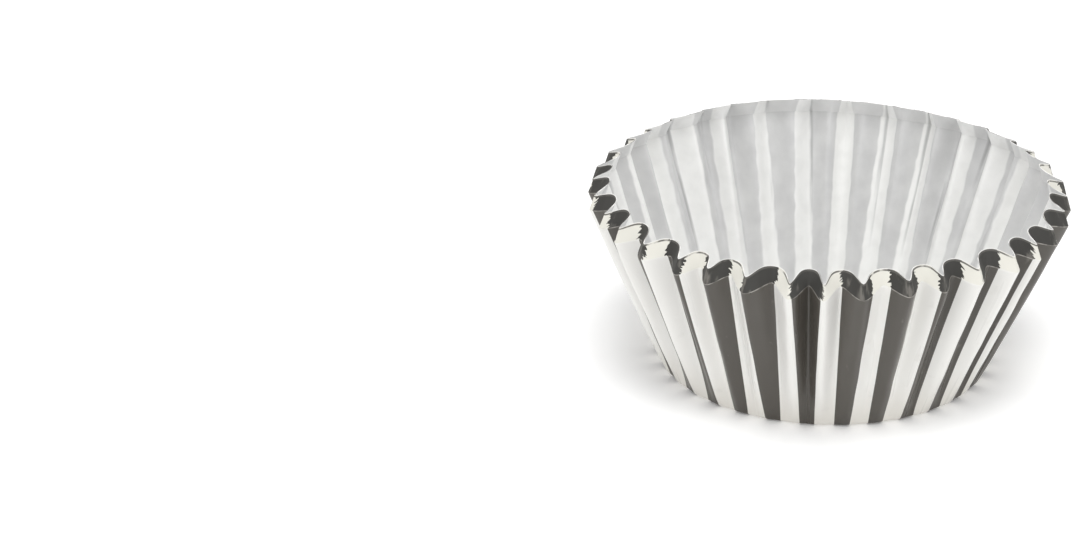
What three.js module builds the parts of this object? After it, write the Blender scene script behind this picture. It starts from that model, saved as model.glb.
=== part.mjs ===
// Paper baking cup: one round sheet of coated paper, pressed into a pleated cup.
// It has a flat base, a flared wall that is pleated from the base up, a sharp crease that runs round
// the wall near the top, and above the crease a short lip that leans back inwards.
//
// Units are millimetres and +Z is up. The origin is on the floor, at the middle of the base.
// The paper can't stretch, so each ring of the flat sheet keeps its length in the cup. The ring lies
// on a smaller circle there, and the pleats are as deep as it takes to hold the spare length.

import * as THREE from "three";

// Driving sizes of the sheet and of the cup.
const DISC_DIAMETER = 112; // the flat sheet before it is pressed
const PAPER_THICKNESS = 0.1;
const BASE_DIAMETER = 50.8; // where the wall's line meets the floor, two inches
const BASE_BEND_RADIUS = 0.8; // bend between the base and the wall
const WALL_FLARE_DEG = 21; // the wall's middle surface, from upright
const LIP_WIDTH = 2.5; // paper above the crease, measured along the paper
const LIP_LEAN_OUTER_DEG = 18; // lip's lean inwards at the outer folds, from upright
const LIP_LEAN_INNER_DEG = 16; // the same at the inner folds
const CREASE_WIDTH = 0.3; // paper that the crease's own bend takes up

// Driving sizes of the pleats.
const PLEAT_COUNT = 37;
const FIRST_FOLD_DEG = 2.3; // where the first outer fold stands, from +X towards +Y
const DEPTH_SHARE = 0.88; // round folds and steep flanks take up the rest of the spare paper
const FOLD_SOFTNESS = 0.14; // how round a fold is: 0 is a knife edge, 1 is a plain wave
const BASE_FOLD_SHARE = 0.5; // 0 makes the inner folds the sharp ones, 1 the outer folds
const CREASE_FOLD_SHARE = 0.42; // at the crease the inner folds are a little sharper
const RIM_FOLD_SHARE = 1; // at the cut edge the outer folds are sharp and the inner ones round
const WALL_FLANK_STEEPNESS = 0.15; // how much the flanks stand up between the folds, below 1
const RIM_FLANK_STEEPNESS = 0.25;
const RIM_INNER_SPREAD = 0.45; // how much the round inner folds broaden at the cut edge, below 1

// Pressed paper is never even: slow waves round the cup shift and deepen the pleats a little.
const FOLD_DRIFT = 0.14; // slow shift of the folds round the cup, as a share of a pleat's pitch
const FOLD_JITTER = 0.09; // quick shift from pleat to pleat, as a share of a pleat's pitch
const PLEAT_DEPTH_CHANGE = 0.06; // largest change of depth, as a share of the depth
const EDGE_RISE = 0.15; // largest rise or fall of the crease and the cut edge

// How finely the solid is divided.
const STEPS_PER_PLEAT = 6;
const BEND_STEPS = 2;
const WALL_STEPS = 4;
const LIP_STEPS = 2;

// Sizes that follow from the driving ones.
const WALL_FLARE = THREE.MathUtils.degToRad(WALL_FLARE_DEG);
const LIP_LEAN_OUTER = THREE.MathUtils.degToRad(LIP_LEAN_OUTER_DEG);
const LIP_LEAN_INNER = THREE.MathUtils.degToRad(LIP_LEAN_INNER_DEG);
const FIRST_FOLD = THREE.MathUtils.degToRad(FIRST_FOLD_DEG);
const BEND_ANGLE = Math.PI / 2 - WALL_FLARE;
const BEND_LENGTH = BASE_BEND_RADIUS * BEND_ANGLE;
const FLAT_RADIUS = BASE_DIAMETER / 2 - BASE_BEND_RADIUS * Math.tan(BEND_ANGLE / 2);
const SLANT_LENGTH = DISC_DIAMETER / 2 - FLAT_RADIUS;
const CREASE_AT = SLANT_LENGTH - LIP_WIDTH;
const AROUND = PLEAT_COUNT * STEPS_PER_PLEAT;

// A point of the middle surface as if the cup had no pleats. `along` is the length of paper from the
// edge of the flat base, up to the crease.
function meanWall(along) {
  const turned = Math.min(along, BEND_LENGTH) / BASE_BEND_RADIUS;
  const straight = Math.max(along - BEND_LENGTH, 0);
  return {
    radius: FLAT_RADIUS + BASE_BEND_RADIUS * Math.sin(turned) + straight * Math.sin(WALL_FLARE),
    height: BASE_BEND_RADIUS * (1 - Math.cos(turned)) + straight * Math.cos(WALL_FLARE),
    lean: Math.PI / 2 - turned,
  };
}

// Depth of the pleats there, from fold to fold, square to the wall. If the flanks were straight, half
// of the paper in a pleat would be the long side of a right triangle, and half of the pitch and the
// depth would be its short sides.
function pleatDepth(along) {
  const ringRadius = FLAT_RADIUS + along;
  const { radius } = meanWall(along);
  const halfPitch = (Math.PI * radius) / PLEAT_COUNT;
  const fullness = ringRadius / radius;
  return DEPTH_SHARE * halfPitch * Math.sqrt(Math.max(fullness * fullness - 1, 0));
}

// The two lines that the folds follow up the cup. Each is a function of `along` that gives the radius
// and the height of the outermost or the innermost point of a pleat, without unevenness.
function foldPoint(along, side) {
  const below = Math.min(along, CREASE_AT);
  const { radius, height, lean } = meanWall(below);
  const reach = (side * pleatDepth(below)) / 2;
  const above = along - below;
  const lipLean = side > 0 ? LIP_LEAN_OUTER : LIP_LEAN_INNER;
  return {
    radius: radius + reach * Math.cos(lean) - above * Math.sin(lipLean),
    height: height - reach * Math.sin(lean) + above * Math.cos(lipLean),
  };
}

// The size of a number with its corner at 0 rounded off. It is 0 at 0, and 1 at 1 and at -1.
function roundedSize(value) {
  const corner = FOLD_SOFTNESS;
  return (Math.hypot(value, corner) - corner) / (Math.hypot(1, corner) - corner);
}

// How far across the pleat the paper lies, from 0 on the outer fold to 1 on the inner one. `turn` goes
// from 0 to 1 over one pleat. `share` is 0 where the inner folds are the sharp ones.
function pleatWave(turn, share) {
  const sharpInner = 1 - roundedSize(Math.cos(Math.PI * turn));
  const sharpOuter = roundedSize(Math.sin(Math.PI * turn));
  return THREE.MathUtils.lerp(sharpInner, sharpOuter, share);
}

// How the folds change on the way up: 0 up to the crease, then up to 1 at the cut edge.
function lipShare(along) {
  return THREE.MathUtils.clamp((along - CREASE_AT) / LIP_WIDTH, 0, 1);
}

function foldShare(along) {
  const wallShare = Math.min(along / CREASE_AT, 1);
  const onWall = THREE.MathUtils.lerp(BASE_FOLD_SHARE, CREASE_FOLD_SHARE, wallShare);
  return THREE.MathUtils.lerp(onWall, RIM_FOLD_SHARE, lipShare(along));
}

// How far a point moves along the ring, as a share of a pleat's pitch, to make the flanks steeper and
// the inner folds broader than an even wave has them.
function flankShift(turn, along) {
  const lip = lipShare(along);
  const steepness = THREE.MathUtils.lerp(WALL_FLANK_STEEPNESS, RIM_FLANK_STEEPNESS, lip);
  const spread = RIM_INNER_SPREAD * lip;
  const steep = (steepness * Math.sin(4 * Math.PI * turn)) / (4 * Math.PI);
  return steep - (spread * Math.sin(2 * Math.PI * turn)) / (2 * Math.PI);
}

// A wave round the cup, between -1 and 1. `rounds` is how often it repeats, so it closes.
function waveRound(angle, rounds, start) {
  return Math.sin(rounds * angle + start);
}

// A point on the paper's middle surface. `pleats` counts pleats round the cup from the first fold, and
// `along` is the length of paper from the edge of the flat base.
function middlePoint(pleats, along, target) {
  const turn = pleats - Math.floor(pleats);
  const evenAngle = FIRST_FOLD + (2 * Math.PI * pleats) / PLEAT_COUNT;
  const drift = FOLD_DRIFT * waveRound(evenAngle, 3, 1.99);
  const jitter = FOLD_JITTER * waveRound(evenAngle, 12, 4.67);
  const shift = drift + jitter + flankShift(turn, along);
  const angle = evenAngle + (shift * 2 * Math.PI) / PLEAT_COUNT;
  const deeper = 1 + PLEAT_DEPTH_CHANGE * waveRound(evenAngle, 7, 1.3);
  const across = 0.5 + (pleatWave(turn, foldShare(along)) - 0.5) * deeper;
  const outer = foldPoint(along, 1);
  const inner = foldPoint(along, -1);
  const radius = THREE.MathUtils.lerp(outer.radius, inner.radius, across);
  const rise = EDGE_RISE * (along / SLANT_LENGTH) * waveRound(evenAngle, 4, 0.4);
  const height = THREE.MathUtils.lerp(outer.height, inner.height, across) + rise;
  return target.set(
    radius * Math.cos(angle),
    radius * Math.sin(angle),
    height + PAPER_THICKNESS / 2,
  );
}

// The direction square to the paper, out of the cup, from two short steps along the surface.
function outwardNormal(pleats, along) {
  const step = 1e-3;
  const back = Math.max(along - step, 0);
  const up = Math.min(along + step, SLANT_LENGTH);
  const round = middlePoint(pleats + step, along, new THREE.Vector3());
  round.sub(middlePoint(pleats - step, along, new THREE.Vector3()));
  const climb = middlePoint(pleats, up, new THREE.Vector3());
  climb.sub(middlePoint(pleats, back, new THREE.Vector3()));
  return round.cross(climb).normalize();
}

// Where the rings of the solid lie, as lengths of paper from the edge of the flat base. The crease
// takes two rings, half its width below and above it.
function ringPlaces() {
  const places = [];
  for (let i = 1; i <= BEND_STEPS; i++) places.push((BEND_LENGTH * i) / BEND_STEPS);
  const creaseStart = CREASE_AT - CREASE_WIDTH / 2;
  const creaseEnd = CREASE_AT + CREASE_WIDTH / 2;
  for (let i = 1; i <= WALL_STEPS; i++) {
    places.push(THREE.MathUtils.lerp(BEND_LENGTH, creaseStart, i / WALL_STEPS));
  }
  for (let i = 0; i <= LIP_STEPS; i++) {
    places.push(THREE.MathUtils.lerp(creaseEnd, SLANT_LENGTH, i / LIP_STEPS));
  }
  return places;
}

// One face of the paper as rings of points. `side` is 1 for the outside of the cup and -1 for the
// inside. The first ring is the edge of the flat base, where the paper lies level.
function skinRings(side) {
  const offset = (side * PAPER_THICKNESS) / 2;
  const rings = [];
  const flat = [];
  for (let i = 0; i < AROUND; i++) {
    const angle = FIRST_FOLD + (2 * Math.PI * i) / AROUND;
    const height = PAPER_THICKNESS / 2 - offset;
    flat.push(new THREE.Vector3(FLAT_RADIUS * Math.cos(angle), FLAT_RADIUS * Math.sin(angle), height));
  }
  rings.push(flat);
  for (const along of ringPlaces()) {
    const ring = [];
    for (let i = 0; i < AROUND; i++) {
      const pleats = i / STEPS_PER_PLEAT;
      const point = middlePoint(pleats, along, new THREE.Vector3());
      ring.push(point.addScaledVector(outwardNormal(pleats, along), offset));
    }
    rings.push(ring);
  }
  return rings;
}

// Joins rings of points into one closed surface: up the outside, over the cut edge, down the inside,
// with a fan over the base on each side.
function closedSheet() {
  const outside = skinRings(1);
  const inside = skinRings(-1);
  const rings = [...outside, ...inside.reverse()];
  const positions = rings.flat().flatMap((point) => point.toArray());
  const indices = [];
  for (let ring = 0; ring + 1 < rings.length; ring++) {
    for (let i = 0; i < AROUND; i++) {
      const next = (i + 1) % AROUND;
      const low = ring * AROUND;
      const high = low + AROUND;
      indices.push(low + i, low + next, high + next);
      indices.push(low + i, high + next, high + i);
    }
  }
  const bottomCentre = positions.length / 3;
  positions.push(0, 0, 0);
  const floorCentre = bottomCentre + 1;
  positions.push(0, 0, PAPER_THICKNESS);
  const lastRing = (rings.length - 1) * AROUND;
  for (let i = 0; i < AROUND; i++) {
    const next = (i + 1) % AROUND;
    indices.push(bottomCentre, next, i);
    indices.push(floorCentre, lastRing + i, lastRing + next);
  }
  const geometry = new THREE.BufferGeometry();
  geometry.setAttribute("position", new THREE.Float32BufferAttribute(positions, 3));
  geometry.setIndex(indices);
  geometry.computeVertexNormals();
  return geometry;
}

const printedPaper = new THREE.MeshStandardMaterial({
  color: 0xebe9e4,
  roughness: 0.55,
  metalness: 0,
});

const bakingCup = new THREE.Mesh(closedSheet(), printedPaper);
bakingCup.name = "baking_cup";

const part = new THREE.Group();
part.add(bakingCup);

export default part;
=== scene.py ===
"""Looks of a striped paper baking cup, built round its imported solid.

The cup is one round sheet of coated paper. The sheet is printed with stripes on its outer face, and it
is pressed into a cup with a flat base, a pleated wall, a crease and a short lip. All sizes are in
metres and all angles in radians. +Z is up, and the origin is on the floor at the middle of the base.
"""

import logging
import math
from dataclasses import dataclass
from enum import Enum

import bpy
import numpy as np
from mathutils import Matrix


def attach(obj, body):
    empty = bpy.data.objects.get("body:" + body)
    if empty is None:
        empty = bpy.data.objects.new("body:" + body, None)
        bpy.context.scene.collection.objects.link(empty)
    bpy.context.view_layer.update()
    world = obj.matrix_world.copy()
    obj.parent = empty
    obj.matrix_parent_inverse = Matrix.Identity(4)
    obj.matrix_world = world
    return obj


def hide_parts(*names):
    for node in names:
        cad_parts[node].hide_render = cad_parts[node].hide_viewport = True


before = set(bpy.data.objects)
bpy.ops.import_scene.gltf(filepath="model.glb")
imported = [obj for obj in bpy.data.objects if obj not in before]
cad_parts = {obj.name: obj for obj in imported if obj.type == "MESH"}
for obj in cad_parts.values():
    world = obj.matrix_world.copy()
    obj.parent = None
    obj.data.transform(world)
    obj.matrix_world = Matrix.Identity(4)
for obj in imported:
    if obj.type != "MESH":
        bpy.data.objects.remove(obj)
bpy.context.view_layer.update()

PHOTO_WIDTH = 1080
LOG = logging.getLogger("baking_cup")
MM = 0.001
FULL_TURN = 2 * math.pi

# The mesh keeps each point's place on the flat sheet, and how far across a pleat it lies.
SHEET_PLACE = "sheet_place"
FOLD_SIDE = "fold_side"

MID_PLEAT = 0.5
NOISE_MIDDLE = 0.5

Socket = bpy.types.NodeSocket
Value = float | str | tuple[float, ...] | Socket
Feeds = dict[str | int, Value]


class PaperFace(Enum):
    """The two faces of the sheet and its cut edge, in the order of the cup's materials."""

    PRINTED = 0
    GREASEPROOF = 1
    CUT_EDGE = 2


def blend(low: np.ndarray, high: np.ndarray, share: np.ndarray) -> np.ndarray:
    """Goes in a straight line from one value, where share is 0, to another, where it is 1."""
    return low + (high - low) * share


def ring_points(radius: np.ndarray, angle: np.ndarray, height: np.ndarray) -> np.ndarray:
    """Turns radii, angles and heights into points, with their coordinates along the last axis."""
    return np.stack([radius * np.cos(angle), radius * np.sin(angle), height], axis=-1)


def screen_colour(code: str) -> tuple[float, float, float, float]:
    """Turns a colour as a screen shows it into the linear colour that a shader takes.

    Args:
        code: Six hexadecimal digits, two each for red, green and blue.

    Returns:
        Linear red, green and blue, and 1 for opaque.
    """
    shown = [int(code[i : i + 2], 16) / 255 for i in (0, 2, 4)]
    linear = [c / 12.92 if c <= 0.04045 else ((c + 0.055) / 1.055) ** 2.4 for c in shown]
    return (linear[0], linear[1], linear[2], 1.0)


@dataclass(frozen=True)
class PressedSheet:
    """Sizes of the flat sheet, and of the base, wall and lip that it is pressed into."""

    disc_diameter: float = 112 * MM
    thickness: float = 0.1 * MM
    base_diameter: float = 50.8 * MM
    base_bend_radius: float = 0.8 * MM
    wall_flare: float = math.radians(21)
    lip_width: float = 2.5 * MM
    lip_lean_outer: float = math.radians(18)
    lip_lean_inner: float = math.radians(16)
    crease_width: float = 0.3 * MM

    @property
    def radius(self) -> float:
        """The radius of the flat sheet."""
        return self.disc_diameter / 2

    @property
    def crease_radius(self) -> float:
        """The distance of the crease from the middle of the flat sheet."""
        return self.radius - self.lip_width

    @property
    def base_radius(self) -> float:
        """The radius of the base."""
        return self.base_diameter / 2

    @property
    def bend_angle(self) -> float:
        """How far the paper turns up at the edge of the base."""
        return math.pi / 2 - self.wall_flare

    @property
    def bend_length(self) -> float:
        """The paper that the bend at the base takes up."""
        return self.base_bend_radius * self.bend_angle

    @property
    def flat_radius(self) -> float:
        """The radius of the flat part of the base."""
        return self.base_radius - self.base_bend_radius * math.tan(self.bend_angle / 2)

    @property
    def slant_length(self) -> float:
        """The paper from the edge of the flat base to the cut edge."""
        return self.radius - self.flat_radius

    @property
    def crease_at(self) -> float:
        """The paper from the edge of the flat base to the crease."""
        return self.slant_length - self.lip_width

    def mean_wall(self, along: np.ndarray) -> tuple[np.ndarray, np.ndarray, np.ndarray]:
        """Follows the wall up as if the cup had no pleats.

        Args:
            along: Length of paper from the edge of the flat base, up to the crease.

        Returns:
            The radius, the height and the wall's lean from upright outwards.
        """
        turned = np.minimum(along, self.bend_length) / self.base_bend_radius
        straight = np.maximum(along - self.bend_length, 0)
        radius = self.flat_radius + self.base_bend_radius * np.sin(turned)
        radius = radius + straight * math.sin(self.wall_flare)
        height = self.base_bend_radius * (1 - np.cos(turned)) + straight * math.cos(self.wall_flare)
        return radius, height, math.pi / 2 - turned


@dataclass(frozen=True)
class RingWave:
    """A slow wave round the cup, which makes its pleats uneven."""

    size: float
    rounds: int
    start: float

    def at(self, angle: np.ndarray) -> np.ndarray:
        """Gives the wave's value at an angle."""
        return self.size * np.sin(self.rounds * angle + self.start)


@dataclass(frozen=True)
class Pleats:
    """Sizes of the pleats, and how their folds change on the way up and round the cup."""

    count: int = 37
    first_fold: float = math.radians(2.3)
    depth_share: float = 0.88
    fold_softness: float = 0.14
    base_fold_share: float = 0.5
    crease_fold_share: float = 0.42
    rim_fold_share: float = 1.0
    wall_steepness: float = 0.15
    rim_steepness: float = 0.25
    rim_inner_spread: float = 0.45
    drift: RingWave = RingWave(0.14, 3, 1.99)
    jitter: RingWave = RingWave(0.09, 12, 4.67)
    depth_change: RingWave = RingWave(0.06, 7, 1.3)
    edge_rise: RingWave = RingWave(0.15 * MM, 4, 0.4)

    @property
    def pitch(self) -> float:
        """The angle that one pleat takes."""
        return FULL_TURN / self.count

    def rounded_size(self, value: np.ndarray) -> np.ndarray:
        """Gives the size of a number from -1 to 1 with its corner at 0 rounded off."""
        corner = self.fold_softness
        return (np.hypot(value, corner) - corner) / (math.hypot(1, corner) - corner)

    def wave(self, turn: np.ndarray, share: np.ndarray) -> np.ndarray:
        """Says how far across a pleat the paper lies.

        Args:
            turn: From 0 to 1 over one pleat, from one outer fold to the next.
            share: 0 where the inner folds are the sharp ones, 1 where the outer ones are.

        Returns:
            0 on the outer fold to 1 on the inner fold.
        """
        sharp_inner = 1 - self.rounded_size(np.cos(math.pi * turn))
        sharp_outer = self.rounded_size(np.sin(math.pi * turn))
        return blend(sharp_inner, sharp_outer, share)

    def even_angle(self, turns: np.ndarray) -> np.ndarray:
        """Gives the angle of a place that is counted in pleats from the first outer fold."""
        return self.first_fold + turns * self.pitch

    def drifted_angle(self, turns: np.ndarray) -> np.ndarray:
        """Gives the angle of a place with the pleats' slow shifts round the cup."""
        even = self.even_angle(turns)
        return even + (self.drift.at(even) + self.jitter.at(even)) * self.pitch


@dataclass(frozen=True)
class Crumple:
    """The faint dents of pressed paper, as a sum of slow waves over the sheet."""

    seed: int = 7
    wave_total: int = 14
    depth: float = 0.045 * MM
    shortest: float = 5 * MM
    longest: float = 14 * MM
    flat_reach: float = 6 * MM

    def dents(self, place: np.ndarray, along: np.ndarray) -> np.ndarray:
        """Gives how far the paper stands out of its smooth form.

        Args:
            place: Places on the flat sheet.
            along: Length of paper from the edge of the flat base, where the dents fade out.

        Returns:
            The distance, outwards where it is positive.
        """
        rng = np.random.default_rng(self.seed)
        total = np.zeros_like(along)
        for _ in range(self.wave_total):
            heading = rng.uniform(0, FULL_TURN)
            length = rng.uniform(self.shortest, self.longest)
            start = rng.uniform(0, FULL_TURN)
            travelled = place[..., 0] * math.cos(heading) + place[..., 1] * math.sin(heading)
            total += np.sin(FULL_TURN * travelled / length + start)
        return self.depth * total / math.sqrt(self.wave_total) * np.minimum(along / self.flat_reach, 1)


@dataclass(frozen=True)
class MeshSteps:
    """How finely the visible mesh is divided.

    A direction is measured over a nudge, which is a share of a pleat round the cup and of a
    millimetre up the paper.
    """

    per_pleat: int = 22
    base_rings: int = 4
    bend_rings: int = 6
    wall_rings: int = 27
    lip_rings: int = 10
    nudge: float = 1e-3


@dataclass
class BakingCup:
    """The whole cup, which is one pressed sheet of paper."""

    sheet: PressedSheet
    pleats: Pleats
    crumple: Crumple
    steps: MeshSteps
    name: str = "striped_baking_cup"
    node: str = "baking_cup"
    body: str = "root"
    slot: str = "printed_paper"

    @property
    def around(self) -> int:
        """How many points each ring has."""
        return self.pleats.count * self.steps.per_pleat

    @property
    def ring_turns(self) -> np.ndarray:
        """The places of one ring's points, counted in pleats."""
        return np.arange(self.around) / self.steps.per_pleat

    def pleat_depth(self, along: np.ndarray) -> np.ndarray:
        """Works out the pleats' depth from the paper that each ring of the sheet has to hold.

        Args:
            along: Length of paper from the edge of the flat base.

        Returns:
            The depth from the outer fold to the inner one, square to the wall.
        """
        radius = self.sheet.mean_wall(along)[0]
        fullness = (self.sheet.flat_radius + along) / radius
        half_pitch = radius * self.pleats.pitch / 2
        return self.pleats.depth_share * half_pitch * np.sqrt(np.maximum(fullness**2 - 1, 0))

    def fold_line(self, along: np.ndarray, side: int) -> tuple[np.ndarray, np.ndarray]:
        """Follows the outer or the inner folds up the cup.

        Args:
            along: Length of paper from the edge of the flat base.
            side: 1 for the outer folds, -1 for the inner ones.

        Returns:
            The radius and the height of the fold.
        """
        below = np.minimum(along, self.sheet.crease_at)
        radius, height, lean = self.sheet.mean_wall(below)
        reach = side * self.pleat_depth(below) / 2
        above = along - below
        lip_lean = self.sheet.lip_lean_outer if side > 0 else self.sheet.lip_lean_inner
        fold_radius = radius + reach * np.cos(lean) - above * math.sin(lip_lean)
        fold_height = height - reach * np.sin(lean) + above * math.cos(lip_lean)
        return fold_radius, fold_height

    def lip_share(self, along: np.ndarray) -> np.ndarray:
        """Gives 0 up to the crease and then rises to 1 at the cut edge."""
        return np.clip((along - self.sheet.crease_at) / self.sheet.lip_width, 0, 1)

    def fold_share(self, along: np.ndarray) -> np.ndarray:
        """Says which folds are the sharp ones, as Pleats.wave takes it.

        Args:
            along: Length of paper from the edge of the flat base.

        Returns:
            0 where the inner folds are sharp, 1 where the outer ones are.
        """
        wall_share = np.minimum(along / self.sheet.crease_at, 1)
        on_wall = blend(self.pleats.base_fold_share, self.pleats.crease_fold_share, wall_share)
        return blend(on_wall, self.pleats.rim_fold_share, self.lip_share(along))

    def flank_shift(self, turn: np.ndarray, along: np.ndarray) -> np.ndarray:
        """Moves points along the ring, for steeper flanks and broader inner folds.

        Args:
            turn: From 0 to 1 over one pleat, from one outer fold to the next.
            along: Length of paper from the edge of the flat base.

        Returns:
            The shift as a share of a pleat's pitch.
        """
        lip = self.lip_share(along)
        steepness = blend(self.pleats.wall_steepness, self.pleats.rim_steepness, lip)
        spread = self.pleats.rim_inner_spread * lip
        steep = steepness * np.sin(2 * FULL_TURN * turn) / (2 * FULL_TURN)
        return steep - spread * np.sin(FULL_TURN * turn) / FULL_TURN

    def middle(self, turns: np.ndarray, along: np.ndarray) -> np.ndarray:
        """Gives points of the paper's middle surface.

        Args:
            turns: Place round the cup, counted in pleats.
            along: Length of paper from the edge of the flat base.

        Returns:
            The points, with their coordinates along the last axis.
        """
        pleats = self.pleats
        turn = turns - np.floor(turns)
        even = pleats.even_angle(turns)
        angle = pleats.drifted_angle(turns) + self.flank_shift(turn, along) * pleats.pitch
        deeper = 1 + pleats.depth_change.at(even)
        across = MID_PLEAT + (pleats.wave(turn, self.fold_share(along)) - MID_PLEAT) * deeper
        outer_radius, outer_height = self.fold_line(along, 1)
        inner_radius, inner_height = self.fold_line(along, -1)
        radius = blend(outer_radius, inner_radius, across)
        rise = pleats.edge_rise.at(even) * along / self.sheet.slant_length
        height = blend(outer_height, inner_height, across) + rise + self.sheet.thickness / 2
        return ring_points(radius, angle, height)

    def outward(self, turns: np.ndarray, along: np.ndarray) -> np.ndarray:
        """Gives the direction square to the paper, out of the cup.

        Args:
            turns: Place round the cup, counted in pleats.
            along: Length of paper from the edge of the flat base.

        Returns:
            Directions of length 1.
        """
        nudge = self.steps.nudge
        low = np.maximum(along - nudge * MM, 0)
        high = np.minimum(along + nudge * MM, self.sheet.slant_length)
        round_cup = self.middle(turns + nudge, along) - self.middle(turns - nudge, along)
        up_wall = self.middle(turns, high) - self.middle(turns, low)
        normal = np.cross(round_cup, up_wall)
        return normal / np.linalg.norm(normal, axis=-1, keepdims=True)

    def ring_places(self) -> np.ndarray:
        """Lists how far up the paper the rings lie, from the edge of the flat base."""
        sheet = self.sheet
        half_crease = sheet.crease_width / 2
        bend = np.linspace(0, sheet.bend_length, self.steps.bend_rings, endpoint=False)[1:]
        wall = np.linspace(sheet.bend_length, sheet.crease_at - half_crease, self.steps.wall_rings)
        lip = np.linspace(sheet.crease_at + half_crease, sheet.slant_length, self.steps.lip_rings)
        return np.concatenate([bend, wall, [sheet.crease_at], lip])

    def base_rings(self, side: int) -> np.ndarray:
        """Builds the rings of the flat base, without its middle point.

        Args:
            side: 1 for the printed face, -1 for the greaseproof one.

        Returns:
            Rings of points from the middle outwards.
        """
        shares = np.arange(1, self.steps.base_rings + 1) / self.steps.base_rings
        radius = self.sheet.flat_radius * shares[:, None]
        level = self.sheet.thickness / 2 * (1 - side)
        height = np.full((len(shares), self.around), level)
        return ring_points(radius, self.pleats.drifted_angle(self.ring_turns), height)

    def flat_places(self, turns: np.ndarray, along: np.ndarray) -> np.ndarray:
        """Says where points of the wall lay on the flat sheet, which is what the print goes by."""
        radius = self.sheet.flat_radius + along
        return ring_points(radius, self.pleats.drifted_angle(turns), 0 * radius)

    def skin(self, side: int) -> tuple[np.ndarray, np.ndarray, np.ndarray]:
        """Builds one face of the paper.

        Args:
            side: 1 for the printed face, -1 for the greaseproof one.

        Returns:
            Rings of points, their places on the flat sheet, and how far across a pleat they lie,
            from 0 on the outer folds to 1 on the inner ones.
        """
        base = self.base_rings(side)
        turns, along = np.meshgrid(self.ring_turns, self.ring_places())
        place = self.flat_places(turns, along)
        offset = side * self.sheet.thickness / 2 + self.crumple.dents(place, along)
        wall = self.middle(turns, along) + self.outward(turns, along) * offset[..., None]
        across = self.pleats.wave(turns - np.floor(turns), self.fold_share(along))
        level = np.full(base.shape[:2], MID_PLEAT)
        points = np.concatenate([base, wall])
        return points, np.concatenate([base * [1, 1, 0], place]), np.concatenate([level, across])

    def ring_faces(self, ring_total: int, first_point: int, side: int) -> np.ndarray:
        """Joins each ring of a skin to the next with four-sided faces.

        Args:
            ring_total: How many rings the skin has.
            first_point: Number of the skin's first ring point in the mesh.
            side: 1 turns the faces to the outside of the cup, -1 to the inside.

        Returns:
            Four point numbers for each face.
        """
        here = np.arange(self.around)
        beside = (here + 1) % self.around
        low = first_point + self.around * np.arange(ring_total - 1)[:, None]
        high = low + self.around
        corners = [low + here, low + beside, high + beside, high + here]
        faces = np.stack(corners, axis=-1).reshape(-1, 4)
        return faces if side > 0 else faces[:, ::-1]

    def face_groups(self, ring_total: int) -> list[tuple[np.ndarray, PaperFace]]:
        """Lists the faces of both skins, of their middles and of the cut edge.

        Args:
            ring_total: How many rings each skin has.

        Returns:
            Groups of faces, each with the finish that it takes.
        """
        skin_points = ring_total * self.around
        here = np.arange(self.around)
        beside = (here + 1) % self.around
        outer_rim = skin_points - self.around
        inner_rim = outer_rim + skin_points
        edge = [outer_rim + here, outer_rim + beside, inner_rim + beside, inner_rim + here]
        below = [np.full(self.around, 2 * skin_points), beside, here]
        floor = [np.full(self.around, 2 * skin_points + 1), skin_points + here, skin_points + beside]
        return [
            (self.ring_faces(ring_total, 0, 1), PaperFace.PRINTED),
            (np.stack(below, axis=-1), PaperFace.PRINTED),
            (self.ring_faces(ring_total, skin_points, -1), PaperFace.GREASEPROOF),
            (np.stack(floor, axis=-1), PaperFace.GREASEPROOF),
            (np.stack(edge, axis=-1), PaperFace.CUT_EDGE),
        ]

    def make_mesh(self) -> bpy.types.Object:
        """Makes the cup's closed mesh, with its places on the flat sheet as attributes.

        Returns:
            The new object.
        """
        outer, outer_flat, outer_across = self.skin(1)
        inner, inner_flat, inner_across = self.skin(-1)
        middles = [[0, 0, 0], [0, 0, self.sheet.thickness]]
        points = np.concatenate([outer.reshape(-1, 3), inner.reshape(-1, 3), middles])
        flat = np.concatenate([outer_flat.reshape(-1, 3), inner_flat.reshape(-1, 3), np.zeros((2, 3))])
        across = np.concatenate([outer_across.ravel(), inner_across.ravel(), [MID_PLEAT, MID_PLEAT]])
        groups = self.face_groups(len(outer))
        faces = [face for group, _ in groups for face in group.tolist()]
        finishes = [kind.value for group, kind in groups for _ in group]
        mesh = bpy.data.meshes.new(self.name)
        mesh.from_pydata(points.tolist(), [], faces)
        mesh.polygons.foreach_set("material_index", finishes)
        mesh.polygons.foreach_set("use_smooth", [True] * len(faces))
        mesh.attributes.new(SHEET_PLACE, "FLOAT_VECTOR", "POINT").data.foreach_set("vector", flat.ravel())
        mesh.attributes.new(FOLD_SIDE, "FLOAT", "POINT").data.foreach_set("value", across)
        mesh.update()
        self.sharpen_cut_edge(mesh, len(outer) * self.around)
        cup = bpy.data.objects.new(self.name, mesh)
        bpy.context.scene.collection.objects.link(cup)
        return cup

    def sharpen_cut_edge(self, mesh: bpy.types.Mesh, skin_points: int) -> None:
        """Keeps the two corners of the cut edge sharp, so that it shades as a narrow flat face.

        Args:
            mesh: The cup's mesh.
            skin_points: How many points each face of the paper has.
        """
        ends = np.empty(len(mesh.edges) * 2, dtype=np.int64)
        mesh.edges.foreach_get("vertices", ends)
        ends = ends.reshape(-1, 2)
        on_outer_rim = (ends >= skin_points - self.around) & (ends < skin_points)
        on_inner_rim = (ends >= 2 * skin_points - self.around) & (ends < 2 * skin_points)
        sharp = on_outer_rim.all(axis=1) | on_inner_rim.all(axis=1)
        mesh.attributes.new("sharp_edge", "BOOLEAN", "EDGE").data.foreach_set("value", sharp)

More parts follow.
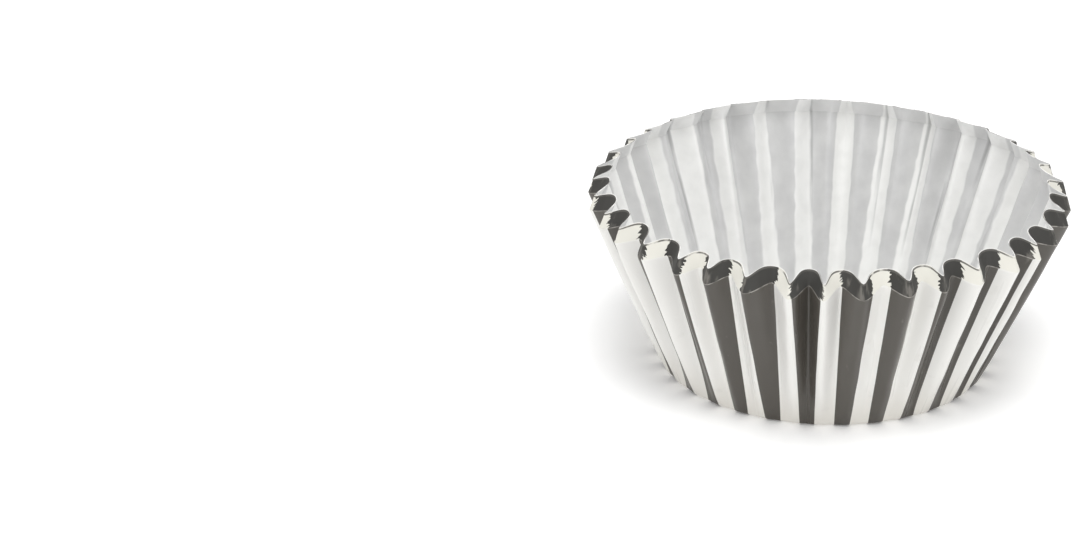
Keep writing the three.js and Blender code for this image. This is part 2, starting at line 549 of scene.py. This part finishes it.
    def build(self, finishes: list[bpy.types.Material]) -> bpy.types.Object:
        """Makes the cup, gives it its finishes and puts it in the frame.

        Args:
            finishes: One material for each member of PaperFace, in that order.

        Returns:
            The finished object.
        """
        cup = self.make_mesh()
        for finish in finishes:
            cup.data.materials.append(finish)
        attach(cup, self.body)
        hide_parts(self.node)
        return cup


class NodeBench:
    """Adds nodes to one material or world, one plain call for each."""

    def __init__(self, owner: bpy.types.Material | bpy.types.World) -> None:
        """Empties the owner's node tree.

        Args:
            owner: The material or world that the nodes are for.
        """
        owner.use_nodes = True
        self.tree = owner.node_tree
        self.tree.nodes.clear()

    def feed(self, socket: Socket, value: Value) -> None:
        """Sets a socket to a plain value or a colour code, or links it to another socket.

        Args:
            socket: The socket to feed.
            value: A number, a vector, six hexadecimal digits or another node's output.
        """
        if isinstance(value, Socket):
            self.tree.links.new(value, socket)
        elif isinstance(value, str):
            socket.default_value = screen_colour(value)
        else:
            socket.default_value = value

    def add(self, kind: str, feeds: Feeds, **settings: str) -> bpy.types.Node:
        """Adds a node.

        Args:
            kind: The name of the node's type.
            feeds: What goes into its sockets, by their names or numbers.
            settings: The node's properties.

        Returns:
            The new node.
        """
        node = self.tree.nodes.new(kind)
        for name, setting in settings.items():
            setattr(node, name, setting)
        for name, value in feeds.items():
            self.feed(node.inputs[name], value)
        return node

    def math(self, operation: str, *values: Value) -> Socket:
        """Works out a sum, product or the like of numbers."""
        feeds = dict(enumerate(values))
        return self.add("ShaderNodeMath", feeds, operation=operation).outputs["Value"]

    def vector(self, operation: str, feeds: Feeds) -> bpy.types.Node:
        """Adds a node that works on a vector."""
        return self.add("ShaderNodeVectorMath", feeds, operation=operation)

    def length(self, value: Value) -> Socket:
        """Gives the length of a vector."""
        return self.vector("LENGTH", {0: value}).outputs["Value"]

    def at_length(self, value: Value, length: float) -> Socket:
        """Gives a vector of that length in the same direction."""
        unit = self.vector("NORMALIZE", {0: value}).outputs["Vector"]
        return self.vector("SCALE", {0: unit, "Scale": length}).outputs["Vector"]

    def ease(self, value: Value, start: Value, end: Value, low: float = 0, high: float = 1) -> Socket:
        """Goes smoothly from low to high as a value goes from start to end, and stays there."""
        feeds = {"Value": value, "From Min": start, "From Max": end, "To Min": low, "To Max": high}
        return self.add("ShaderNodeMapRange", feeds, interpolation_type="SMOOTHSTEP").outputs["Result"]

    def noise(self, place: Value, size: float, detail: float) -> Socket:
        """Gives a soft random value about 0.5, whose marks are that wide and hold finer ones."""
        feeds = {"Vector": place, "Scale": 1 / size, "Detail": detail}
        return self.add("ShaderNodeTexNoise", feeds, noise_dimensions="3D").outputs["Fac"]

    def mix(self, share: Value, low: Value, high: Value) -> Socket:
        """Goes from one colour to another.

        Args:
            share: How far to go, from 0 to 1.
            low: The first colour.
            high: The other colour.

        Returns:
            The mixed colour.
        """
        node = self.add("ShaderNodeMix", {"Factor": share}, data_type="RGBA")
        colour_inputs = [s for s in node.inputs if s.type == "RGBA"]
        self.feed(colour_inputs[0], low)
        self.feed(colour_inputs[1], high)
        return next(s for s in node.outputs if s.type == "RGBA")

    def combine(self, x: Value, y: Value, z: Value) -> Socket:
        """Makes a vector of three numbers."""
        return self.add("ShaderNodeCombineXYZ", {"X": x, "Y": y, "Z": z}).outputs["Vector"]

    def split(self, value: Value) -> tuple[Socket, Socket]:
        """Takes the X and Y out of a vector."""
        node = self.add("ShaderNodeSeparateXYZ", {"Vector": value})
        return node.outputs["X"], node.outputs["Y"]

    def attribute(self, name: str) -> bpy.types.Node:
        """Reads one of the mesh's attributes."""
        return self.add("ShaderNodeAttribute", {}, attribute_name=name, attribute_type="GEOMETRY")

    def bump(self, height: Value, depth: float, strength: float) -> Socket:
        """Turns a height into a bumped normal."""
        feeds = {"Height": height, "Distance": depth, "Strength": strength}
        return self.add("ShaderNodeBump", feeds).outputs["Normal"]

    def surface(self, colour: Value, roughness: Value, specular: float, normal: Value) -> None:
        """Ends the tree in a plain shader.

        Args:
            colour: The base colour.
            roughness: The roughness.
            specular: The specular level.
            normal: The normal.
        """
        feeds = {
            "Base Color": colour,
            "Roughness": roughness,
            "Specular IOR Level": specular,
            "Normal": normal,
        }
        shader = self.add("ShaderNodeBsdfPrincipled", feeds)
        self.add("ShaderNodeOutputMaterial", {"Surface": shader.outputs["BSDF"]})


@dataclass(frozen=True)
class SheetPlan:
    """Finds a point's place on the flat sheet, for the print and for the paper's grain."""

    sheet: PressedSheet
    streak_radius: float = 112 / 3 * MM
    lip_start: float = -0.05 * MM
    lip_full: float = 0.15 * MM

    def flat_place(self, bench: NodeBench) -> Socket:
        """Gives the place on the flat sheet."""
        return bench.attribute(SHEET_PLACE).outputs["Vector"]

    def radius(self, bench: NodeBench) -> Socket:
        """Gives the distance from the middle of the sheet."""
        return bench.length(self.flat_place(bench))

    def angle(self, bench: NodeBench) -> Socket:
        """Gives the angle round the sheet from +X."""
        x, y = bench.split(self.flat_place(bench))
        return bench.math("ARCTAN2", y, x)

    def heading_place(self, bench: NodeBench, radius: float) -> tuple[Socket, Socket]:
        """Gives X and Y on a circle of that radius, at the same angle round the sheet."""
        return bench.split(bench.at_length(self.flat_place(bench), radius))

    def streak_place(self, bench: NodeBench, stretch: float) -> Socket:
        """Gives a place that closes round the cup, and whose pattern is drawn out up the wall."""
        x, y = self.heading_place(bench, self.streak_radius)
        return bench.combine(x, y, bench.math("DIVIDE", self.radius(bench), stretch))

    def above_crease(self, bench: NodeBench) -> Socket:
        """Gives 0 below the crease and 1 on the lip."""
        crease = self.sheet.crease_radius
        return bench.ease(self.radius(bench), crease + self.lip_start, crease + self.lip_full)


@dataclass(frozen=True)
class Grain:
    """A soft random pattern on the sheet, drawn out up the wall where it has a stretch."""

    size: float
    detail: float
    stretch: float = 0.0

    def value(self, bench: NodeBench, plan: SheetPlan) -> Socket:
        """Gives the pattern's value, about 0.5."""
        place = plan.streak_place(bench, self.stretch) if self.stretch else plan.flat_place(bench)
        return bench.noise(place, self.size, self.detail)


@dataclass(frozen=True)
class Marks:
    """Marks that show where a random pattern rises from one value to another."""

    grain: Grain
    start: float
    full: float
    weakest: float = 0.0
    strongest: float = 1.0

    def share(self, bench: NodeBench, plan: SheetPlan, lift: Value = 0.0) -> Socket:
        """Says how strongly the marks show, with more of them where the pattern has a lift."""
        lifted = bench.math("ADD", self.grain.value(bench, plan), lift)
        return bench.ease(lifted, self.start, self.full, self.weakest, self.strongest)


@dataclass(frozen=True)
class Stripes:
    """The printed stripes, which widen a little towards the edge of the sheet."""

    plan: SheetPlan
    count: int = 31
    first_centre: float = math.radians(-87.9)
    share_at_base: float = 0.445
    share_growth: float = 4.8
    lip_growth: float = 0.05
    ragged_depth: float = 1.35 * MM
    ragged_length: float = 0.4 * MM
    ragged_detail: float = 6
    ragged_slant: float = 0.6
    stroke_radius: float = 14 * MM
    waver: Grain = Grain(3.1 * MM, 1)
    waver_depth: float = 0.38 * MM
    bare_radius: float = 6 * MM

    @property
    def pitch(self) -> float:
        """The angle from one dark stripe to the next."""
        return FULL_TURN / self.count

    def depth_inside(self, bench: NodeBench) -> Socket:
        """Gives how far inside a dark stripe a point lies, and less than 0 outside it.

        Args:
            bench: The material's nodes.

        Returns:
            The distance round the sheet to the stripe's edge.
        """
        radius = self.plan.radius(bench)
        turned = bench.math("SUBTRACT", self.plan.angle(bench), self.first_centre)
        from_centre = bench.math("PINGPONG", bench.math("DIVIDE", turned, self.pitch), 0.5)
        share_at_middle = self.share_at_base - self.plan.sheet.base_radius * self.share_growth
        share = bench.math("MULTIPLY_ADD", radius, self.share_growth, share_at_middle)
        wider = bench.math("MULTIPLY", self.plan.above_crease(bench), self.lip_growth)
        half = bench.math("MULTIPLY", bench.math("ADD", share, wider), 0.5)
        arc = bench.math("MULTIPLY", radius, self.pitch)
        return bench.math("MULTIPLY", bench.math("SUBTRACT", half, from_centre), arc)

    def torn(self, bench: NodeBench, inside: Socket) -> Socket:
        """Tears the stripe's edge on the lip, where the press has drawn the ink into short strokes.

        Args:
            bench: The material's nodes.
            inside: How far inside a dark stripe a point lies.

        Returns:
            That distance with the strokes.
        """
        slanted = bench.math("MULTIPLY_ADD", inside, -self.ragged_slant, self.plan.radius(bench))
        x, y = self.plan.heading_place(bench, self.stroke_radius)
        noise = bench.noise(bench.combine(x, y, slanted), self.ragged_length, self.ragged_detail)
        jag = bench.math("SUBTRACT", noise, NOISE_MIDDLE)
        deep = bench.math("MULTIPLY", self.plan.above_crease(bench), 2 * self.ragged_depth)
        return bench.math("ADD", inside, bench.math("MULTIPLY", jag, deep))

    def wavered(self, bench: NodeBench, inside: Socket) -> Socket:
        """Moves the stripe's edge a little to and fro, as it shows through the paper."""
        sway = bench.math("SUBTRACT", self.waver.value(bench, self.plan), NOISE_MIDDLE)
        return bench.math("ADD", inside, bench.math("MULTIPLY", sway, 2 * self.waver_depth))

    def ink(self, bench: NodeBench, inside: Socket, blur: float) -> Socket:
        """Says how dark the print is.

        Args:
            bench: The material's nodes.
            inside: How far inside a dark stripe a point lies.
            blur: Width over which the stripe's edge fades.

        Returns:
            1 on a dark stripe and 0 off it.
        """
        half = blur / 2
        stripe = bench.ease(inside, -half, half)
        printed = bench.ease(self.plan.radius(bench), self.bare_radius - half, self.bare_radius + half)
        return bench.math("MULTIPLY", stripe, printed)


@dataclass(frozen=True)
class PrintedFace:
    """The coated outer face: glossy ink and paper on the wall, dull and scuffed on the lip, with a
    painted reflection in the lip's notches and a painted highlight along the crease.
    """

    plan: SheetPlan
    stripes: Stripes
    ink_wall: str = "4d4943"
    ink_lip: str = "343330"
    # Pale colour: real wear in the scuffs, and painted reflection in the lip's notches.
    worn_ink_and_sheen: str = "8b8780"
    # Pale line along the crease: painted highlight where the fold catches light.
    crease_highlight: str = "b4b0a9"
    paper_wall: str = "f0efeb"
    # Darker, warmer paper near the base: painted shade.
    paper_lip: str = "e0ded5"
    shaded_base_paper: str = "e9e6df"
    smudge: str = "d9d7d1"
    rim_line: str = "55534f"
    stripe_blur: float = 0.06 * MM
    scuffs: Marks = Marks(Grain(1.6 * MM, 4, stretch=2.5), 0.65, 0.78, strongest=0.45)
    lip_scuff_lift: float = 0.05
    notch_start: float = 0.3
    notch_full: float = 0.04
    # Pale streaks in the lip's notches: painted reflection of light on the crumpled paper.
    notch_sheen_streaks: Marks = Marks(Grain(0.7 * MM, 3, stretch=4), 0.46, 0.66, strongest=0.5)
    # Width and breaks of the painted highlight along the crease.
    crease_start: float = 0.09 * MM
    crease_full: float = 0.03 * MM
    crease_highlight_breaks: Marks = Marks(Grain(1.2 * MM, 2), 0.35, 0.65, weakest=0.15, strongest=0.75)
    base_shade_reach: float = 9 * MM
    smudges: Marks = Marks(Grain(3.5 * MM, 5), 0.6, 0.8, strongest=0.6)
    bare_margin: float = 0.1 * MM
    rim_line_full: float = 0.16 * MM
    rim_line_fade: float = 0.3 * MM
    rim_line_end: float = 0.42 * MM
    rim_line_breaks: Marks = Marks(Grain(2.2 * MM, 3), 0.36, 0.52, weakest=0.1, strongest=0.95)
    wall_roughness: float = 0.3
    lip_roughness: float = 0.7
    gloss_streaks: Marks = Marks(Grain(1.5 * MM, 1, stretch=20), 0.3, 0.7, weakest=-0.03, strongest=0.1)
    specular: float = 0.5
    streaks: Grain = Grain(1.3 * MM, 1, stretch=30)
    fibres: Grain = Grain(0.35 * MM, 2)
    fibre_share: float = 0.15
    bump_depth: float = 0.02 * MM
    bump_strength: float = 0.3

    def notch_sheen(self, bench: NodeBench) -> Socket:
        """Gives the painted reflection in the lip's narrow notches, as short pale streaks on the ink.

        Args:
            bench: The material's nodes.

        Returns:
            How far the pale colour of the painted reflection covers the ink.
        """
        across = bench.attribute(FOLD_SIDE).outputs["Fac"]
        near = bench.ease(across, self.notch_start, self.notch_full)
        notch_gleam = bench.math("MULTIPLY", near, self.notch_sheen_streaks.share(bench, self.plan))
        return bench.math("MULTIPLY", notch_gleam, self.plan.above_crease(bench))

    def ink_colour(self, bench: NodeBench) -> Socket:
        """Gives the dark ink's colour with its scuffs, the painted reflection in its notches and the
        painted highlight along the crease.

        Args:
            bench: The material's nodes.

        Returns:
            The colour.
        """
        on_lip = self.plan.above_crease(bench)
        colour = bench.mix(on_lip, self.ink_wall, self.ink_lip)
        lift = bench.math("MULTIPLY", on_lip, self.lip_scuff_lift)
        colour = bench.mix(self.scuffs.share(bench, self.plan, lift), colour, self.worn_ink_and_sheen)
        # Painted reflection in the lip's notches, in the pale colour.
        colour = bench.mix(self.notch_sheen(bench), colour, self.worn_ink_and_sheen)
        # A broken pale line along the crease on the ink: painted highlight of the fold.
        above = bench.math("SUBTRACT", self.plan.radius(bench), self.plan.sheet.crease_radius)
        line = bench.ease(bench.math("ABSOLUTE", above), self.crease_start, self.crease_full)
        crease_gleam = bench.math("MULTIPLY", line, self.crease_highlight_breaks.share(bench, self.plan))
        return bench.mix(crease_gleam, colour, self.crease_highlight)

    def paper_colour(self, bench: NodeBench) -> Socket:
        """Gives the unprinted paper's colour, which is warmer on the lip, and darker and warmer near the
        base as painted shade.

        Args:
            bench: The material's nodes.

        Returns:
            The colour.
        """
        base_radius = self.plan.sheet.base_radius
        # Towards the base the paper goes darker and warmer: painted shade.
        low = bench.ease(self.plan.radius(bench), base_radius + self.base_shade_reach, base_radius)
        colour = bench.mix(low, self.paper_wall, self.shaded_base_paper)
        colour = bench.mix(self.plan.above_crease(bench), colour, self.paper_lip)
        return bench.mix(self.smudges.share(bench, self.plan), colour, self.smudge)

    def with_rim_line(self, bench: NodeBench, colour: Socket) -> Socket:
        """Adds the bare margin along the cut edge and the thin broken dark line just below it.

        Args:
            bench: The material's nodes.
            colour: The colour without them.

        Returns:
            The colour with them.
        """
        below = bench.math("SUBTRACT", self.plan.sheet.radius, self.plan.radius(bench))
        start = bench.ease(below, self.bare_margin, self.rim_line_full)
        end = bench.ease(below, self.rim_line_end, self.rim_line_fade)
        breaks = self.rim_line_breaks.share(bench, self.plan)
        line = bench.math("MULTIPLY", bench.math("MULTIPLY", start, end), breaks)
        lined = bench.mix(line, colour, self.rim_line)
        bare = bench.ease(below, self.bare_margin, self.bare_margin / 2)
        return bench.mix(bare, lined, self.paper_wall)

    def roughness(self, bench: NodeBench) -> Socket:
        """Gives a gloss that is streaky on the wall and dull on the lip.

        Args:
            bench: The material's nodes.

        Returns:
            The roughness.
        """
        wall = bench.math("ADD", self.gloss_streaks.share(bench, self.plan), self.wall_roughness)
        rise = self.lip_roughness - self.wall_roughness
        duller = bench.math("MULTIPLY", self.plan.above_crease(bench), rise)
        return bench.math("ADD", wall, duller)

    def material(self) -> bpy.types.Material:
        """Builds the outer face's material.

        Returns:
            The new material.
        """
        finish = bpy.data.materials.new("printed_face")
        bench = NodeBench(finish)
        inside = self.stripes.torn(bench, self.stripes.depth_inside(bench))
        ink = self.stripes.ink(bench, inside, self.stripe_blur)
        colour = bench.mix(ink, self.paper_colour(bench), self.ink_colour(bench))
        streaks = self.streaks.value(bench, self.plan)
        fibres = self.fibres.value(bench, self.plan)
        height = bench.math("MULTIPLY_ADD", fibres, self.fibre_share, streaks)
        normal = bench.bump(height, self.bump_depth, self.bump_strength)
        bench.surface(self.with_rim_line(bench, colour), self.roughness(bench), self.specular, normal)
        return finish


@dataclass(frozen=True)
class GreaseproofFace:
    """The plain inner face, through which the outer stripes show as soft grey bands."""

    plan: SheetPlan
    stripes: Stripes
    paper: str = "f3f3f1"
    band: str = "cacaca"
    # Paler paper and bands on the lip: painted light, standing in for the light that comes through the
    # thin paper there.
    backlit_lip_paper: str = "fafaf9"
    backlit_lip_band: str = "dadada"
    cloud: str = "e8e8e6"
    # Dark grey in the grooves of the outer folds inside: painted shade.
    fold_shade_colour: str = "9f9f9f"
    band_blur: float = 0.45 * MM
    clouds: Marks = Marks(Grain(2.4 * MM, 5), 0.35, 0.75, strongest=0.55)
    band_strength: Marks = Marks(Grain(4 * MM, 4), 0.25, 0.75, weakest=0.72)
    fold_shade_start: float = 0.07
    fold_shade_strength: float = 0.8
    fold_shade_low: float = 30 * MM
    fold_shade_high: float = 40 * MM
    fold_shade_breaks: Marks = Marks(Grain(2.5 * MM, 3, stretch=8), 0.42, 0.62)
    roughness: float = 0.55
    specular: float = 0.35
    streaks: Grain = Grain(1.4 * MM, 3, stretch=8)
    bump_depth: float = 0.05 * MM
    bump_strength: float = 0.5

    def fold_shade(self, bench: NodeBench) -> Socket:
        """Gives the broken dark lines in the outer folds, painted shade in the grooves that these folds
        make inside, which fades out towards the base.

        Args:
            bench: The material's nodes.

        Returns:
            How far the painted shade's colour covers the paper.
        """
        across = bench.attribute(FOLD_SIDE).outputs["Fac"]
        near = bench.ease(across, self.fold_shade_start, 0, 0, self.fold_shade_strength)
        broken = bench.math("MULTIPLY", near, self.fold_shade_breaks.share(bench, self.plan))
        on_wall = bench.ease(self.plan.radius(bench), self.fold_shade_low, self.fold_shade_high)
        return bench.math("MULTIPLY", broken, on_wall)

    def material(self) -> bpy.types.Material:
        """Builds the inner face's material.

        Returns:
            The new material.
        """
        finish = bpy.data.materials.new("greaseproof_face")
        bench = NodeBench(finish)
        on_lip = self.plan.above_crease(bench)
        # Paler on the lip: painted light coming through the thin paper.
        paper = bench.mix(on_lip, self.paper, self.backlit_lip_paper)
        plain = bench.mix(self.clouds.share(bench, self.plan), paper, self.cloud)
        inside = self.stripes.wavered(bench, self.stripes.depth_inside(bench))
        ink = self.stripes.ink(bench, inside, self.band_blur)
        band = bench.math("MULTIPLY", ink, self.band_strength.share(bench, self.plan))
        # Paler bands on the lip: painted light coming through the thin paper.
        colour = bench.mix(band, plain, bench.mix(on_lip, self.band, self.backlit_lip_band))
        # Painted shade along the grooves of the outer folds.
        colour = bench.mix(self.fold_shade(bench), colour, self.fold_shade_colour)
        normal = bench.bump(self.streaks.value(bench, self.plan), self.bump_depth, self.bump_strength)
        bench.surface(colour, self.roughness, self.specular, normal)
        return finish


@dataclass(frozen=True)
class CutEdgeFace:
    """The bare cut edge of the paper."""

    plan: SheetPlan
    paper: str = "f6f5f2"
    shade: str = "5a5853"
    shaded: Marks = Marks(Grain(3 * MM, 2), 0.45, 0.6, strongest=0.8)
    roughness: float = 0.8
    specular: float = 0.3
    fibres: Grain = Grain(0.3 * MM, 3)
    bump_depth: float = 0.02 * MM
    bump_strength: float = 0.4

    def material(self) -> bpy.types.Material:
        """Builds the cut edge's material.

        Returns:
            The new material.
        """
        finish = bpy.data.materials.new("cut_edge")
        bench = NodeBench(finish)
        colour = bench.mix(self.shaded.share(bench, self.plan), self.paper, self.shade)
        normal = bench.bump(self.fibres.value(bench, self.plan), self.bump_depth, self.bump_strength)
        bench.surface(colour, self.roughness, self.specular, normal)
        return finish


@dataclass(frozen=True)
class SoftLamp:
    """A soft rectangular lamp that points at the cup."""

    name: str
    azimuth: float
    elevation: float
    width: float
    height: float
    power: float
    distance: float = 2.2

    def build(self) -> None:
        """Hangs the lamp, with its azimuth counted from -Y towards +X."""
        lamp = bpy.data.lights.new(self.name, "AREA")
        lamp.shape = "RECTANGLE"
        lamp.size = self.width
        lamp.size_y = self.height
        lamp.energy = self.power
        holder = bpy.data.objects.new(self.name, lamp)
        level = self.distance * math.cos(self.elevation)
        holder.location = (
            level * math.sin(self.azimuth),
            -level * math.cos(self.azimuth),
            self.distance * math.sin(self.elevation),
        )
        holder.rotation_euler = (math.pi / 2 - self.elevation, 0, self.azimuth)
        bpy.context.scene.collection.objects.link(holder)


@dataclass(frozen=True)
class Studio:
    """The white floor, the soft lamps and the surrounding light."""

    floor_side: float = 6.0
    floor_below: float = 0.05 * MM
    open_below: float = 0.2 * MM
    floor_share: float = 0.9
    seen_floor_share: float = 1.12
    world_colour: str = "ffffff"
    world_strength: float = 0.67
    lamps: tuple[SoftLamp, ...] = (
        SoftLamp("top_lamp", 0, math.radians(76), width=1.0, height=1.0, power=20.0),
        SoftLamp("left_lamp", math.radians(-48), math.radians(22), width=1.8, height=1.4, power=7.3),
        SoftLamp("right_lamp", math.radians(50), math.radians(22), width=1.8, height=1.4, power=7.3),
        SoftLamp("back_lamp", math.radians(176), math.radians(35), width=3.4, height=1.0, power=7.0),
    )

    def make_floor(self) -> None:
        """Makes the floor, a little below the cup so that the two don't touch."""
        half = self.floor_side / 2
        mesh = bpy.data.meshes.new("floor")
        corners = [(-half, -half, 0), (half, -half, 0), (half, half, 0), (-half, half, 0)]
        mesh.from_pydata(corners, [], [(0, 1, 2, 3)])
        floor = bpy.data.objects.new("floor", mesh)
        floor.location.z = -self.floor_below
        bpy.context.scene.collection.objects.link(floor)
        mesh.materials.append(self.floor_material())

    def seen_or(self, bench: NodeBench, seen: float, otherwise: float) -> Socket:
        """Gives one value on rays from the camera, a gloss or something clear, else another.

        Args:
            bench: The nodes of the floor or the world.
            seen: The value where it is seen directly.
            otherwise: The value for the light that it gives.

        Returns:
            The value.
        """
        path = bench.add("ShaderNodeLightPath", {}).outputs
        direct = bench.math("MAXIMUM", path["Is Camera Ray"], path["Is Glossy Ray"])
        direct = bench.math("MAXIMUM", direct, path["Is Transmission Ray"])
        return bench.math("MULTIPLY_ADD", direct, seen - otherwise, otherwise)

    def floor_material(self) -> bpy.types.Material:
        """Builds the floor: white where it is seen, clear from below, and open to what rests on it.

        Returns:
            The new material.
        """
        finish = bpy.data.materials.new("white_floor")
        bench = NodeBench(finish)
        share = self.seen_or(bench, self.seen_floor_share, self.floor_share)
        diffuse = bench.add("ShaderNodeBsdfDiffuse", {"Color": bench.combine(share, share, share)})
        clear = bench.add("ShaderNodeBsdfTransparent", {})
        ray_length = bench.add("ShaderNodeLightPath", {}).outputs["Ray Length"]
        touching = bench.math("LESS_THAN", ray_length, self.open_below)
        from_below = bench.add("ShaderNodeNewGeometry", {}).outputs["Backfacing"]
        opened = bench.math("MAXIMUM", from_below, touching)
        feeds = {0: opened, 1: diffuse.outputs["BSDF"], 2: clear.outputs["BSDF"]}
        face = bench.add("ShaderNodeMixShader", feeds)
        bench.add("ShaderNodeOutputMaterial", {"Surface": face.outputs["Shader"]})
        return finish

    def make_world(self) -> None:
        """Makes the even light from all round, which is white where it is seen directly."""
        world = bpy.data.worlds.new("soft_room")
        bpy.context.scene.world = world
        bench = NodeBench(world)
        strength = self.seen_or(bench, 1.0, self.world_strength)
        background = bench.add("ShaderNodeBackground", {"Color": self.world_colour, "Strength": strength})
        bench.add("ShaderNodeOutputWorld", {"Surface": background.outputs["Background"]})

    def build(self) -> None:
        """Makes the floor, the world and the lamps."""
        self.make_floor()
        self.make_world()
        for lamp in self.lamps:
            lamp.build()


@dataclass(frozen=True)
class PhotoCamera:
    """The camera that sees the cup as the photograph does."""

    focal_pixels: float = 3200.0
    sensor_width: float = 36.0
    side: float = -44.226 * MM
    back: float = -452.002 * MM
    height: float = 220.416 * MM
    pitch_down: float = math.radians(24.652)
    nearest: float = 10 * MM

    def build(self) -> None:
        """Makes the camera and gives it to the scene."""
        lens = bpy.data.cameras.new("photo_camera")
        lens.sensor_width = self.sensor_width
        lens.lens = self.focal_pixels / PHOTO_WIDTH * self.sensor_width
        lens.clip_start = self.nearest
        camera = bpy.data.objects.new("photo_camera", lens)
        camera.location = (self.side, self.back, self.height)
        camera.rotation_euler = (math.pi / 2 - self.pitch_down, 0, 0)
        bpy.context.scene.collection.objects.link(camera)
        bpy.context.scene.camera = camera


def main() -> None:
    """Builds the camera, the studio and the cup, and reports each."""
    logging.basicConfig(level=logging.INFO)
    LOG.info("frame loaded with %d node(s)", len(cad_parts))
    bpy.context.scene.view_settings.view_transform = "Standard"
    PhotoCamera().build()
    LOG.info("camera placed")
    Studio().build()
    LOG.info("floor and lamps placed")
    sheet = PressedSheet()
    plan = SheetPlan(sheet)
    stripes = Stripes(plan)
    finishes = [
        PrintedFace(plan, stripes).material(),
        GreaseproofFace(plan, stripes).material(),
        CutEdgeFace(plan).material(),
    ]
    cup = BakingCup(sheet, Pleats(), Crumple(), MeshSteps()).build(finishes)
    LOG.info("%s has %d faces", cup.name, len(cup.data.polygons))


if __name__ == "__main__":
    main()
